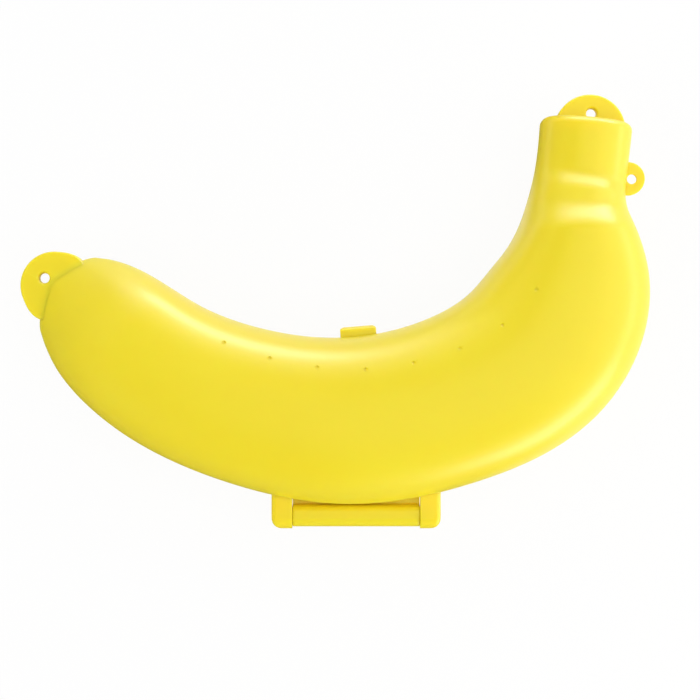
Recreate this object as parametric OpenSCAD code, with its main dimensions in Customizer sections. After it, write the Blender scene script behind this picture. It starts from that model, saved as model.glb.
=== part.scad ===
// Banana carrying case: a hinged two-part hard case that follows the fruit.
// Units are millimetres. X runs from the tip to the stem, Y points from the hinge to the latch,
// Z is up. The case lies on its back half, with the middle of its underside at the origin.

/* [Case] */
// Length of the middle line, from the tip to the stem's end along X
curve_length = 166.4; // [155:0.1:185]
// Height of the middle line, from the belly to the stem's end along Y
curve_height = 95; // [86:0.5:107]
// Depth of the closed case
case_depth = 44; // [38:1:54]
// Wall thickness of both shells
wall = 1.8; // [1.5:0.1:2.4]
// Gap between the two rims
seam = 0.3; // [0.2:0.05:0.5]
// Height trimmed off the underside, so that the case lies flat
rest_flat = 0.3; // [0.1:0.1:0.8]

/* [Widths along the curve] */
// Width at the tip
tip_width = 20.5; // [17:0.5:26]
// Width at the cheek beside the tip
cheek_width = 43; // [38:0.5:48]
// Width at the tip quarter
tip_quarter_width = 46.5; // [42:0.5:52]
// Width left of the belly
belly_left_width = 49; // [42:0.5:54]
// Width of the belly, over the hinge
belly_width = 52.5; // [47:0.5:58]
// Width right of the belly
belly_right_width = 52; // [46:0.5:57]
// Width at the stem quarter
stem_quarter_width = 56; // [50:0.5:60]
// Width under the neck
under_neck_width = 51.5; // [46:0.5:55]
// Width at the neck
neck_width = 28.5; // [25:0.5:33]
// Width at the foot of the stem
stem_foot_width = 28; // [24:0.5:32]
// Width at the stem's end
stem_width = 28.5; // [25:0.5:32]

/* [Depth lost by each half towards the tip] */
// At the tip
tip_drop = 10; // [7:0.5:12]
// At the cheek
cheek_drop = 3.5; // [2:0.1:5]
// At the tip quarter
quarter_drop = 0.4; // [0:0.1:1]

/* [Section and ends] */
// Squareness of the body's section, where 2 is an ellipse
body_square = 2.5; // [2:0.1:3.5]
// Squareness of the stem's section
stem_square = 3.4; // [2:0.1:5]
// Length of the rounded tip, seen from above
tip_run = 7; // [5.5:0.5:11]
// Length over which each half rises from the tab to the body
tip_slope = 32; // [24:0.5:36]
// Depth of each half right at the tip
tip_low = 2.4; // [2.3:0.1:3.4]
// Rounding of the stem's end
stem_edge = 2.5; // [1.5:0.1:4]
// Straight length of the stem
stem_run = 16.5; // [12:0.5:20]
// Rise of the collar below the stem
collar_rise = 3.2; // [2:0.1:5]
// Length of the collar's slope
collar_run = 6; // [4:0.5:8]
// Flat between collar and shoulder
collar_flat = 3.5; // [0.5:0.5:5]
// Rise of the shoulder below the collar
shoulder_rise = 5; // [2:0.5:7]
// Length of the shoulder's slope
shoulder_run = 7; // [6:0.5:12]

/* [Rim] */
// Height of the lip on the base rim
lip_height = 1.5; // [1:0.1:2.5]
// Skin of the lid outside the lip
rim_skin = 0.7; // [0.5:0.05:0.8]
// Play between lip and lid
lip_play = 0.25; // [0.15:0.05:0.3]
// Draft of the lip's face over its height
lip_draft = 0.15; // [0.1:0.05:0.2]

/* [Vents] */
// Number of vents
vent_count = 8; // [4:1:12]
// Diameter of a vent
vent_d = 1.4; // [1:0.1:3]
// Place of the first vent along the curve, counted in stations
vent_first = 2.5; // [2:0.05:3]
// Place of the last vent along the curve, counted in stations
vent_last = 6.65; // [5.5:0.05:7]
// Distance of the first vent from the concave rim
vent_inset = 7; // [5:0.5:11]
// Further distance of the last vent from the concave rim
vent_drift = 7.5; // [0:0.1:11]

/* [Hinge] */
// Middle of the hinge along X
hinge_x = 7; // [0:0.5:14]
// Width over both lugs
hinge_width = 52.5; // [44:0.5:60]
// Width of a lug
lug_width = 6.4; // [5:0.1:8]
// Radius of a lug round the pin
lug_r = 3.5; // [3.2:0.1:4.2]
// Corner rounding of a lug
lug_corner = 3.4; // [1:0.1:4.2]
// Radius of the barrel
barrel_r = 2.9; // [2.6:0.1:3.4]
// Gap between the barrel and the shells
hinge_gap = 1.4; // [1.2:0.1:2.4]
// Play between the barrel's web and the rims
web_play = 0.3; // [0.2:0.05:0.5]
// Reach of lugs and leaf in past the rim, before they are cut to the shell's outside
arm_reach = 7; // [6:0.5:9]
// Gap beside the barrel, to each lug
side_play = 0.25; // [0.2:0.05:0.8]
// Diameter of the hinge pin
pin_d = 3; // [2:0.1:3.4]
// Radial play of the pin in the barrel
pin_play = 0.05; // [0.02:0.01:0.1]
// Closed end left in the blind lug
blind_end = 1.4; // [1:0.1:3]

/* [Latch] */
// Place of the latch along the curve, counted in stations
latch_at = 4.12; // [3.8:0.02:4.4]
// Width of the latch tongue
latch_width = 11.2; // [8:0.1:14]
// Reach of the tongue out from the rim
latch_reach = 2.8; // [2.6:0.1:4]
// Thickness of the tongue
latch_thick = 1.4; // [1:0.1:1.6]
// Drop of the tongue below the parting plane
latch_drop = 6.6; // [6:0.1:9]
// Gap between the tongue's root and the lid
root_gap = 0.5; // [0.4:0.05:0.7]
// Overlap of hook and strike
hook_bite = 0.4; // [0.2:0.05:0.6]
// Height gap between hook and strike
hook_play = 0.3; // [0.2:0.05:0.5]
// Depth of the hook
hook_depth = 0.7; // [0.6:0.05:0.8]
// Height of the hook's upright face
hook_face = 0.8; // [0.5:0.1:1.2]
// Height of the strike's underside over the tongue's lower end
hook_rise = 2.7; // [2.4:0.1:3.2]
// Height of the strike
strike_height = 2.4; // [1.8:0.1:2.8]
// Height of the strike's upright face
strike_face = 0.7; // [0.4:0.1:1.2]
// Reach of the strike's upper edge from the rim
strike_crest = 0.4; // [0.2:0.1:0.8]
// Distance of the strike's ends from the tongue's sides
strike_inset = 1; // [0.5:0.1:2]
// Reach of the finger ledge beyond the tongue
finger_ledge = 0.4; // [0.3:0.1:1]
// Height of the finger ledge's edge
ledge_edge = 0.7; // [0.4:0.1:1]
// Height of the slope over the finger ledge
ledge_slope = 0.7; // [0.4:0.1:1.2]
// Rounding of the tongue's corners
latch_corner = 1.2; // [0.6:0.1:2]

/* [Hang tabs and ring] */
// Radius of the tab at the tip
tip_tab_r = 10.5; // [9.5:0.1:12]
// Distance of the tip tab's middle behind the shell's end
tip_tab_back = 1.5; // [0:0.1:2.5]
// Distance of the tip tab from the middle line, to the convex side
tip_tab_aside = 0.3; // [0:0.1:1]
// Radius of the tab at the stem
stem_tab_r = 11; // [10:0.1:12]
// Distance of the stem tab's middle behind the shell's end
stem_tab_back = 2.8; // [0:0.1:3.5]
// Distance of the stem tab from the middle line, to the convex side
stem_tab_aside = 1.2; // [0:0.1:2]
// Thickness of each half tab
tab_thick = 2; // [1.5:0.1:3]
// Hole in the tabs
tab_hole_d = 3.5; // [2.5:0.1:5]
// Skin between the tab hole and the shell's end
tab_hole_skin = 0.6; // [0.4:0.1:1.5]
// Place of the ring along the curve, counted in stations
ring_at = 8.85; // [8.5:0.05:9.2]
// Hole in the ring
ring_hole_d = 3.4; // [2.6:0.1:4]
// Skin between the ring's hole and the shell
ring_skin = 0.3; // [0.2:0.1:1]
// Wall of the ring beyond its hole
ring_wall = 2.4; // [2:0.1:3.5]
// Distance of the ring's middle behind its hole
ring_back = 1.1; // [0:0.1:1.5]
// Thickness of the ring
ring_thick = 2.8; // [2:0.1:4]

/* [Hidden] */
half = case_depth / 2;
rim = seam / 2;
// Steps across one half section
arc_steps = 20;
// Least share of the outer width left hollow right at the ends
least_hollow = 0.35;
// Overshoot of cuts
past = 1;

// Middle line of the case, drawn by eye from the tip to the stem's end, at its length and height
drawn = [
    [-88, 9], [-75, -0.5], [-54.5, -20], [-24.5, -31.3], [6, -36], [37.5, -29],
    [65.5, -15], [76.5, 11], [75.1, 31.5], [77.7, 45.5], [78.9, 59]
];
drawn_length = 166.9;
drawn_height = 95;
spine = [for (p = drawn) [p[0] * curve_length / drawn_length, p[1] * curve_height / drawn_height]];
widths = [
    tip_width, cheek_width, tip_quarter_width, belly_left_width, belly_width, belly_right_width,
    stem_quarter_width, under_neck_width, neck_width, stem_foot_width, stem_width
];
drops = [tip_drop, cheek_drop, quarter_drop];
last = len(spine) - 1;
// Control stations of the loft: x, y, half width, depth lost
stations = [for (i = [0:last]) [spine[i][0], spine[i][1], widths[i] / 2, i < len(drops) ? drops[i] : 0]];

// Stretches of the curve, in stations, that other parts are fitted against
tip_stretch = [0, 1.8];
latch_stretch = [3.2, 4.9];
hinge_stretch = [2.6, 5.4];
ring_stretch = [7.6, last];
stem_stretch = [8.6, last];

// One control station, with a mirrored one beyond each end so that the curve starts and ends there
function ctrl(i) =
    i < 0 ? 2 * stations[0] - stations[1]
    : i > last ? 2 * stations[last] - stations[last - 1]
    : stations[i];

// Smooth curve through the stations and its slope, at place t along them
function seg(t) = min(floor(t), last - 1);
function curve(t) =
    let (i = seg(t), f = t - i, g = 1 - f)
    (g * g * g * ctrl(i - 1) + (3 * f * f * f - 6 * f * f + 4) * ctrl(i)
        + (3 * g * g * g - 6 * g * g + 4) * ctrl(i + 1) + f * f * f * ctrl(i + 2)) / 6;
function slope(t) =
    let (i = seg(t), f = t - i, g = 1 - f)
    (-g * g * ctrl(i - 1) + (3 * f * f - 4 * f) * ctrl(i)
        + (4 * g - 3 * g * g) * ctrl(i + 1) + f * f * ctrl(i + 2)) / 2;

function flat(v) = [v[0], v[1]];
function middle(t) = flat(curve(t));
function heading(t) = let (d = slope(t)) atan2(d[1], d[0]);
// Unit vector to the concave side
function side(t) = let (h = heading(t)) [-sin(h), cos(h)];
function clamp(x) = min(max(x, 0), 1);
function dome(x) = sqrt(1 - pow(1 - clamp(x), 2));
function ease(x) = let (c = clamp(x)) c * c * (3 - 2 * c);
function swell(x) = 1 - pow(1 - clamp(x), 2);

// Distance from the tip and from the stem's end
function from_tip(t) = norm(middle(t) - middle(0));
function from_stem(t) = norm(middle(t) - middle(last));

// Half width and half depth of the outside, and of the space inside
function edge_loss(t) =
    let (e = min(from_stem(t), stem_edge))
    stem_edge - sqrt(stem_edge * stem_edge - pow(stem_edge - e, 2));
function full_width(t) = curve(t)[2];
function full_depth(t, top) =
    let (e = from_stem(t))
    top - curve(t)[3]
        - shoulder_rise * (1 - ease((e - stem_run - collar_run - collar_flat) / shoulder_run))
        - collar_rise * (1 - ease((e - stem_run) / collar_run));
function out_width(t) = full_width(t) * dome(from_tip(t) / tip_run) - edge_loss(t);
function out_depth(t, top) =
    tip_low + (full_depth(t, top) - tip_low) * swell(from_tip(t) / tip_slope) - edge_loss(t);
function in_width(t) =
    max(least_hollow * out_width(t),
        min((full_width(t) - wall) * dome((from_tip(t) - wall) / tip_run), out_width(t) - wall));
function in_depth(t, top) =
    let (low = tip_low / 4, rise = swell((from_tip(t) - wall / 2) / tip_slope))
    (low + (full_depth(t, top) - wall - low) * rise) * dome((from_stem(t) - wall) / (2 * wall));
function square_at(t) = body_square + (stem_square - body_square) * ease((t - 7) / 2);

// Point of a rounded-square half section: across, up
function section(a, w, d, n) =
    [sign(cos(a)) * w * pow(abs(cos(a)), 2 / n), d * pow(abs(sin(a)), 2 / n)];

// Places of the loft's rings, closer at the tip, the neck and the stem's end
tip_speed = norm(flat(slope(0)));
stem_speed = norm(flat(slope(last)));
places = concat(
    [for (d = [0.015, 0.07, 0.18, 0.36, 0.6, 0.9, 1.25]) d * tip_run / tip_speed],
    [for (i = [0:22]) 0.7 + 0.28 * i],
    [for (i = [1:19]) 6.86 + 0.15 * i],
    [for (d = [1, 0.64, 0.36, 0.16, 0.04, 0]) last - d * stem_edge / stem_speed]
);

// Point in space from across and up at place t
function place(t, across, up) =
    let (p = middle(t) + across * side(t)) [p[0], p[1], up];

// Outside arc of one ring. The lid's depth is the half depth; the base is cut off flat at it.
function out_arc(t, up) =
    let (
        top = up > 0 ? half : half + rest_flat,
        w = out_width(t),
        d = out_depth(t, top),
        n = square_at(t)
    )
    [for (i = [0:arc_steps])
        let (s = section(180 * i / arc_steps, w, d, n))
        place(t, s[0], up * min(max(s[1], rim), half))];

// Inside arc of one ring, back from the far rim, with its two ends at the given height
function in_arc(t, up, end) =
    let (w = in_width(t), d = in_depth(t, half), n = square_at(t))
    [for (i = [arc_steps:-1:0])
        let (s = section(180 * i / arc_steps, w, d, n))
        place(t, s[0], i == 0 || i == arc_steps ? end : up * max(s[1], rim))];

// Step of the rim: a lip that stands up on the base, and the rebate for it in the lid
function step_height(t) = min(lip_height, in_depth(t, half) / 8);
function step_out(t, up) = out_width(t) - rim_skin - (up > 0 ? 0 : lip_play);
function step_end(t, up) =
    up > 0 ? rim + step_height(t) * (1 + seam / lip_height) : step_height(t) - rim;
function ring(t, up) =
    let (b = step_out(t, up), c = b - lip_draft, e = step_end(t, up))
    concat(
        out_arc(t, up),
        [place(t, -b, up * rim), place(t, -c, e)],
        in_arc(t, up, e),
        [place(t, c, e), place(t, b, up * rim)]
    );

// Skin over a row of rings, with the end caps given as triangles on one ring
function skin(rows, m, cap) = concat(
    [for (j = [0:rows - 2], k = [0:m - 1])
        [j * m + k, j * m + (k + 1) % m, (j + 1) * m + (k + 1) % m]],
    [for (j = [0:rows - 2], k = [0:m - 1])
        [j * m + k, (j + 1) * m + (k + 1) % m, (j + 1) * m + k]],
    [for (c = cap) [c[2], c[1], c[0]]],
    [for (c = cap) [for (v = c) v + (rows - 1) * m]]
);
function turned(faces, up) = up < 0 ? faces : [for (f = faces) [f[2], f[1], f[0]]];

// End cap of a shell ring: strips between the two arcs, and the rim steps on each side
far = arc_steps;
shell_ring = 2 * far + 6;
function inner(i) = 2 * far + 3 - i;
shell_cap = concat(
    [for (i = [1:far - 2]) [i, i + 1, inner(i + 1)]],
    [for (i = [1:far - 2]) [i, inner(i + 1), inner(i)]],
    [[1, inner(1), inner(0)], [1, inner(0), 2 * far + 4]],
    [[1, 2 * far + 4, 2 * far + 5], [1, 2 * far + 5, 0]],
    [[far - 1, far, far + 1], [far - 1, far + 1, far + 2]],
    [[far - 1, far + 2, inner(far)], [far - 1, inner(far), inner(far - 1)]]
);

// One half shell: up is 1 for the lid and -1 for the base
module shell(up) {
    polyhedron(
        points = [for (t = places) each ring(t, up)],
        faces = turned(skin(len(places), shell_ring, shell_cap), up),
        convexity = 6
    );
}

// The same half without its hollow, between two places, to fit other parts against its outside.
// It runs on past the parting plane, so that no face of it lies in a face of theirs.
function core_ring(t, up) =
    concat([place(t, out_width(t), -up)], out_arc(t, up), [place(t, -out_width(t), -up)]);
module core(up, stretch) {
    row = [for (t = places) if (t >= stretch[0] && t <= stretch[1]) t];
    polyhedron(
        points = [for (t = row) each core_ring(t, up)],
        faces = turned(
            skin(len(row), arc_steps + 3, [for (i = [1:arc_steps + 1]) [0, i, i + 1]]), up),
        convexity = 4
    );
}

module lifted() {
    translate([0, 0, half])
        children();
}

// Rim point on the concave side at place t, turned so that X runs along the rim and Y points out
module on_concave_rim(t) {
    translate(place(t, out_width(t), 0))
        rotate(heading(t))
            children();
}

// Profile across the hinge: X of the profile becomes Y, its Y becomes Z, and it runs along X
module along_x(from, length) {
    translate([from, 0, 0])
        rotate([90, 0, 90])
            linear_extrude(length)
                children();
}

module bar_x(from, length, r) {
    translate([from, hinge_y, 0])
        rotate([0, 90, 0])
            cylinder(r = r, h = length, $fn = 48);
}

// Hinge line below the lowest point of the shells
low_y = min([for (t = places) place(t, -out_width(t), 0)[1]]);
hinge_y = low_y - barrel_r - hinge_gap;
hinge_left = hinge_x - hinge_width / 2;
hinge_right = hinge_x + hinge_width / 2;
barrel_left = hinge_left + lug_width + side_play;
barrel_length = hinge_width - 2 * (lug_width + side_play);
arm = barrel_r + hinge_gap + arm_reach;
web_r = barrel_r + hinge_gap - web_play;

// Latch heights, measured from the parting plane
tongue_in = latch_reach - latch_thick;
root_low = 2 * seam;
root_high = root_low + latch_thick;
strike_low = hook_rise - latch_drop;
strike_high = strike_low + strike_height;
strike_out = tongue_in - hook_depth + hook_bite;
hook_top = strike_low - hook_play;

// Line of the vents at place t, and the vents spaced evenly along it
vent_steps = 40;
function vent_line(t) =
    let (share = (t - vent_first) / (vent_last - vent_first))
    place(t, out_width(t) - vent_inset - vent_drift * share, 0);
function vent_t(i) = vent_first + (vent_last - vent_first) * i / vent_steps;
function vent_way(i) =
    i == 0 ? 0 : vent_way(i - 1) + norm(vent_line(vent_t(i)) - vent_line(vent_t(i - 1)));
vent_ways = [for (i = [0:vent_steps]) [vent_way(i), vent_t(i)]];
function vent(k) = vent_line(lookup(vent_way(vent_steps) * k / (vent_count - 1), vent_ways));

module base_shell() {
    color("gold")
        lifted()
            shell(-1);
}

module lid_shell() {
    color("gold")
        lifted()
            difference() {
                shell(1);
                for (k = [0:vent_count - 1])
                    translate(vent(k) + [0, 0, half / 2])
                        cylinder(d = vent_d, h = half, $fn = 24);
            }
}

module hinge_barrel() {
    color("goldenrod")
        lifted()
            difference() {
                union() {
                    bar_x(barrel_left, barrel_length, barrel_r);
                    along_x(barrel_left, barrel_length)
                        translate([hinge_y, -barrel_r])
                            square([arm, barrel_r - seam]);
                    intersection() {
                        bar_x(barrel_left, barrel_length, web_r);
                        along_x(barrel_left, barrel_length)
                            translate([hinge_y, -barrel_r])
                                square([web_r, 2 * barrel_r]);
                    }
                }
                bar_x(barrel_left - past, barrel_length + 2 * past, pin_d / 2 + pin_play);
                core(-1, hinge_stretch);
            }
}

// Front outline of a lug, with its outer lower corner rounded
module lug_front() {
    tall = lug_r + arm;
    translate([lug_corner, 0])
        square([lug_width - lug_corner, tall]);
    translate([0, lug_corner])
        square([lug_width, tall - lug_corner]);
    translate([lug_corner, lug_corner])
        circle(r = lug_corner, $fn = 48);
}

module lug_block(from, mirrored) {
    intersection() {
        along_x(from, lug_width)
            translate([hinge_y, 0]) {
                circle(r = lug_r, $fn = 48);
                translate([0, seam])
                    square([arm, lug_r - seam]);
            }
        translate([mirrored ? from + lug_width : from, hinge_y - lug_r, -lug_r])
            linear_extrude(2 * lug_r)
                mirror([mirrored ? 1 : 0, 0])
                    lug_front();
    }
}

module hinge_lug_left() {
    color("goldenrod")
        lifted()
            difference() {
                lug_block(hinge_left, false);
                bar_x(hinge_left + blind_end, lug_width, pin_d / 2);
                core(1, hinge_stretch);
            }
}

module hinge_lug_right() {
    color("goldenrod")
        lifted()
            difference() {
                lug_block(hinge_right - lug_width, true);
                bar_x(hinge_right - lug_width - past, lug_width + 2 * past, pin_d / 2);
                core(1, hinge_stretch);
            }
}

module hinge_pin() {
    color("darkgoldenrod")
        lifted()
            bar_x(hinge_left + blind_end, hinge_width - 2 * blind_end, pin_d / 2);
}

module latch_tongue() {
    color("orange")
        lifted()
            on_concave_rim(latch_at)
                intersection() {
                    along_x(-latch_width / 2, latch_width)
                        polygon([
                            [root_gap, root_low],
                            [root_gap, root_high],
                            [latch_reach, root_high],
                            [latch_reach, ledge_edge + ledge_slope - latch_drop],
                            [latch_reach + finger_ledge, ledge_edge - latch_drop],
                            [latch_reach + finger_ledge, -latch_drop],
                            [tongue_in, -latch_drop],
                            [tongue_in - hook_depth, hook_top - hook_face],
                            [tongue_in - hook_depth, hook_top],
                            [tongue_in, hook_top],
                            [tongue_in, root_low]
                        ]);
                    translate([0, 0, -latch_drop])
                        linear_extrude(latch_drop + root_high)
                            tongue_front();
                }
}

// Outline of the tongue seen from above, with its two outer corners rounded
module tongue_front() {
    out = latch_reach + finger_ledge;
    translate([-latch_width / 2, 0])
        square([latch_width, out - latch_corner]);
    translate([latch_corner - latch_width / 2, 0])
        square([latch_width - 2 * latch_corner, out]);
    for (k = [-1, 1])
        translate([k * (latch_width / 2 - latch_corner), out - latch_corner])
            circle(r = latch_corner, $fn = 32);
}

module latch_strike() {
    color("orange")
        lifted()
            difference() {
                on_concave_rim(latch_at)
                    along_x(strike_inset - latch_width / 2, latch_width - 2 * strike_inset)
                        polygon([
                            [-past, strike_low],
                            [strike_out, strike_low],
                            [strike_out, strike_low + strike_face],
                            [strike_crest, strike_high],
                            [-past, strike_high]
                        ]);
                core(-1, latch_stretch);
            }
}

// Half of a hang tab round one end of the curve, cut to the shell's outside
module tab(up, t, r, out, back, aside, stretch) {
    lifted()
        difference() {
            translate(place(t, -aside, up > 0 ? rim : -rim - tab_thick))
                rotate(heading(t))
                    difference() {
                        translate([-out * back, 0, 0])
                            cylinder(r = r, h = tab_thick, $fn = 64);
                        translate([out * (tab_hole_d / 2 + tab_hole_skin), 0, -past])
                            cylinder(d = tab_hole_d, h = tab_thick + 2 * past, $fn = 32);
                    }
            core(up, stretch);
        }
}

module base_tip_tab() {
    color("gold")
        tab(-1, 0, tip_tab_r, -1, tip_tab_back, tip_tab_aside, tip_stretch);
}

module lid_tip_tab() {
    color("gold")
        tab(1, 0, tip_tab_r, -1, tip_tab_back, tip_tab_aside, tip_stretch);
}

module base_stem_tab() {
    color("gold")
        tab(-1, last, stem_tab_r, 1, stem_tab_back, stem_tab_aside, stem_stretch);
}

module lid_stem_tab() {
    color("gold")
        tab(1, last, stem_tab_r, 1, stem_tab_back, stem_tab_aside, stem_stretch);
}

module lanyard_ring() {
    hole_r = ring_hole_d / 2;
    color("gold")
        lifted()
            difference() {
                translate(place(ring_at, -out_width(ring_at) - hole_r - ring_skin, -rim - ring_thick))
                    rotate(heading(ring_at))
                        difference() {
                            translate([0, ring_back, 0])
                                cylinder(r = hole_r + ring_wall + ring_back, h = ring_thick, $fn = 48);
                            translate([0, 0, -past])
                                cylinder(r = hole_r, h = ring_thick + 2 * past, $fn = 32);
                        }
                core(-1, ring_stretch);
            }
}

base_shell();
hinge_barrel();
latch_strike();
base_tip_tab();
base_stem_tab();
lanyard_ring();
lid_shell();
hinge_lug_left();
hinge_lug_right();
hinge_pin();
lid_tip_tab();
lid_stem_tab();
latch_tongue();
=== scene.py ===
"""Looks of a hinged banana carrying case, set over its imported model.

Sizes are in millimetres until a mesh is made, and heights are measured from the
plane where lid and base part. Blender's own units are metres.
"""
import logging
import math
from dataclasses import dataclass, field
from enum import Enum
from functools import cached_property
from typing import Any, ClassVar, Sequence, Union

import bmesh
import bpy
import numpy as np
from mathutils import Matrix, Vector


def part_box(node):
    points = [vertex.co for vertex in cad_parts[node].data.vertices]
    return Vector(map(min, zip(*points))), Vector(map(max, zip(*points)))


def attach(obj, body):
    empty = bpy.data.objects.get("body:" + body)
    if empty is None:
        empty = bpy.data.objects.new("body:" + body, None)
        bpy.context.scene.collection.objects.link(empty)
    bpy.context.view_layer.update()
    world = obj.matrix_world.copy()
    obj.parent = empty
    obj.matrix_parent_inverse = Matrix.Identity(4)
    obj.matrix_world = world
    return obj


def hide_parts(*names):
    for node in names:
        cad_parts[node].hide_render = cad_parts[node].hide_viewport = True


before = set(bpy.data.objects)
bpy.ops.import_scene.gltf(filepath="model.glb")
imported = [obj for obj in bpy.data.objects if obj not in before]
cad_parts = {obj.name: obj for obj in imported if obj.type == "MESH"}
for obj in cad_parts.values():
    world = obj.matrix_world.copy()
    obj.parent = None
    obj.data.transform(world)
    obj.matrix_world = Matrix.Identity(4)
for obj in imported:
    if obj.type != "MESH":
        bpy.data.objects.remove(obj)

MM = 0.001
TINY = 1e-9
NOISE_MIDDLE = 0.5
LOG = logging.getLogger("banana_case")

Colour = tuple[float, float, float]
Pair = tuple[float, float]


class Half(Enum):
    """The two halves of the case, as the direction they bulge in."""

    LID = 1
    BASE = -1


class Body(Enum):
    """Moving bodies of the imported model."""

    BASE = "base"
    LID = "lid"
    LATCH = "latch"


class Slot(Enum):
    """Material slots of the record."""

    SHELL = "shell_plastic"
    PIN = "pin_plastic"


class Wire:
    """A shader socket that can be used in Python expressions."""

    def __init__(self, bench: "Bench", socket: bpy.types.NodeSocket) -> None:
        """Keeps the socket and the bench whose tree it is in."""
        self.bench = bench
        self.socket = socket

    def other(self, name: str) -> "Wire":
        """Another output of the same node."""
        return Wire(self.bench, self.socket.node.outputs[name])

    def _maths(self, operation: str, first: "Operand", second: "Operand" = 0.0) -> "Wire":
        """Adds one Math node, by Blender's name of its operation."""
        return self.bench.add("ShaderNodeMath", {"operation": operation}, {0: first, 1: second})

    def __add__(self, other: "Operand") -> "Wire":
        """self + other."""
        return self._maths("ADD", self, other)

    def __radd__(self, other: "Operand") -> "Wire":
        """other + self."""
        return self._maths("ADD", other, self)

    def __sub__(self, other: "Operand") -> "Wire":
        """self - other."""
        return self._maths("SUBTRACT", self, other)

    def __rsub__(self, other: "Operand") -> "Wire":
        """other - self."""
        return self._maths("SUBTRACT", other, self)

    def __mul__(self, other: "Operand") -> "Wire":
        """self * other."""
        return self._maths("MULTIPLY", self, other)

    def __rmul__(self, other: "Operand") -> "Wire":
        """other * self."""
        return self._maths("MULTIPLY", other, self)

    def __truediv__(self, other: "Operand") -> "Wire":
        """self / other."""
        return self._maths("DIVIDE", self, other)

    def __rtruediv__(self, other: "Operand") -> "Wire":
        """other / self."""
        return self._maths("DIVIDE", other, self)

    def __abs__(self) -> "Wire":
        """Absolute value."""
        return self._maths("ABSOLUTE", self)

    def at_most(self, other: "Operand") -> "Wire":
        """The smaller of the two."""
        return self._maths("MINIMUM", self, other)

    def at_least(self, other: "Operand") -> "Wire":
        """The larger of the two."""
        return self._maths("MAXIMUM", self, other)

    def clamped(self) -> "Wire":
        """The value held between 0 and 1."""
        return self.at_least(0.0).at_most(1.0)


Operand = Union[Wire, float, int]


class Bench:
    """Adds nodes to one node tree."""

    def __init__(self, tree: bpy.types.NodeTree) -> None:
        """Starts on an emptied tree."""
        self.tree = tree
        tree.nodes.clear()

    def add(self, kind: str, settings: dict[str, Any] | None = None,
            sockets: dict[Any, Any] | None = None, output: Any = 0) -> Wire:
        """Adds one node.

        Args:
            kind: Blender's type name of the node.
            settings: Properties, set first.
            sockets: Values or wires for its inputs, by name or number.
            output: Name or number of the output to return.

        Returns:
            The chosen output, or nothing where the node has none.
        """
        node = self.tree.nodes.new(kind)
        for name, value in (settings or {}).items():
            setattr(node, name, value)
        for key, value in (sockets or {}).items():
            if isinstance(value, Wire):
                self.tree.links.new(value.socket, node.inputs[key])
            else:
                node.inputs[key].default_value = value
        return Wire(self, node.outputs[output]) if node.outputs else None

    def noise(self, vector: Wire, scale: float, detail: float = 2.0, roughness: float = 0.5) -> Wire:
        """A noise value at a scale counted per metre."""
        return self.add("ShaderNodeTexNoise", {}, {
            "Vector": vector, "Scale": scale, "Detail": detail, "Roughness": roughness}, "Fac")

    def blend(self, factor: Operand, first: Any, second: Any) -> Wire:
        """Mixes two colours by a factor."""
        first, second = ((*c, 1.0) if isinstance(c, tuple) and len(c) == 3 else c for c in (first, second))
        return self.add("ShaderNodeMix", {"data_type": "RGBA"}, {0: factor, 6: first, 7: second}, 2)

    def stretch(self, vector: Wire, by: Colour) -> Wire:
        """Scales a vector's three parts."""
        return self.add("ShaderNodeVectorMath", {"operation": "MULTIPLY"}, {0: vector, 1: by})


def new_material(name: str) -> tuple[bpy.types.Material, Bench]:
    """Makes an empty material.

    Args:
        name: Name of the material.

    Returns:
        The material and the bench for its nodes.
    """
    material = bpy.data.materials.new(name)
    material.use_nodes = True
    return material, Bench(material.node_tree)


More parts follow.
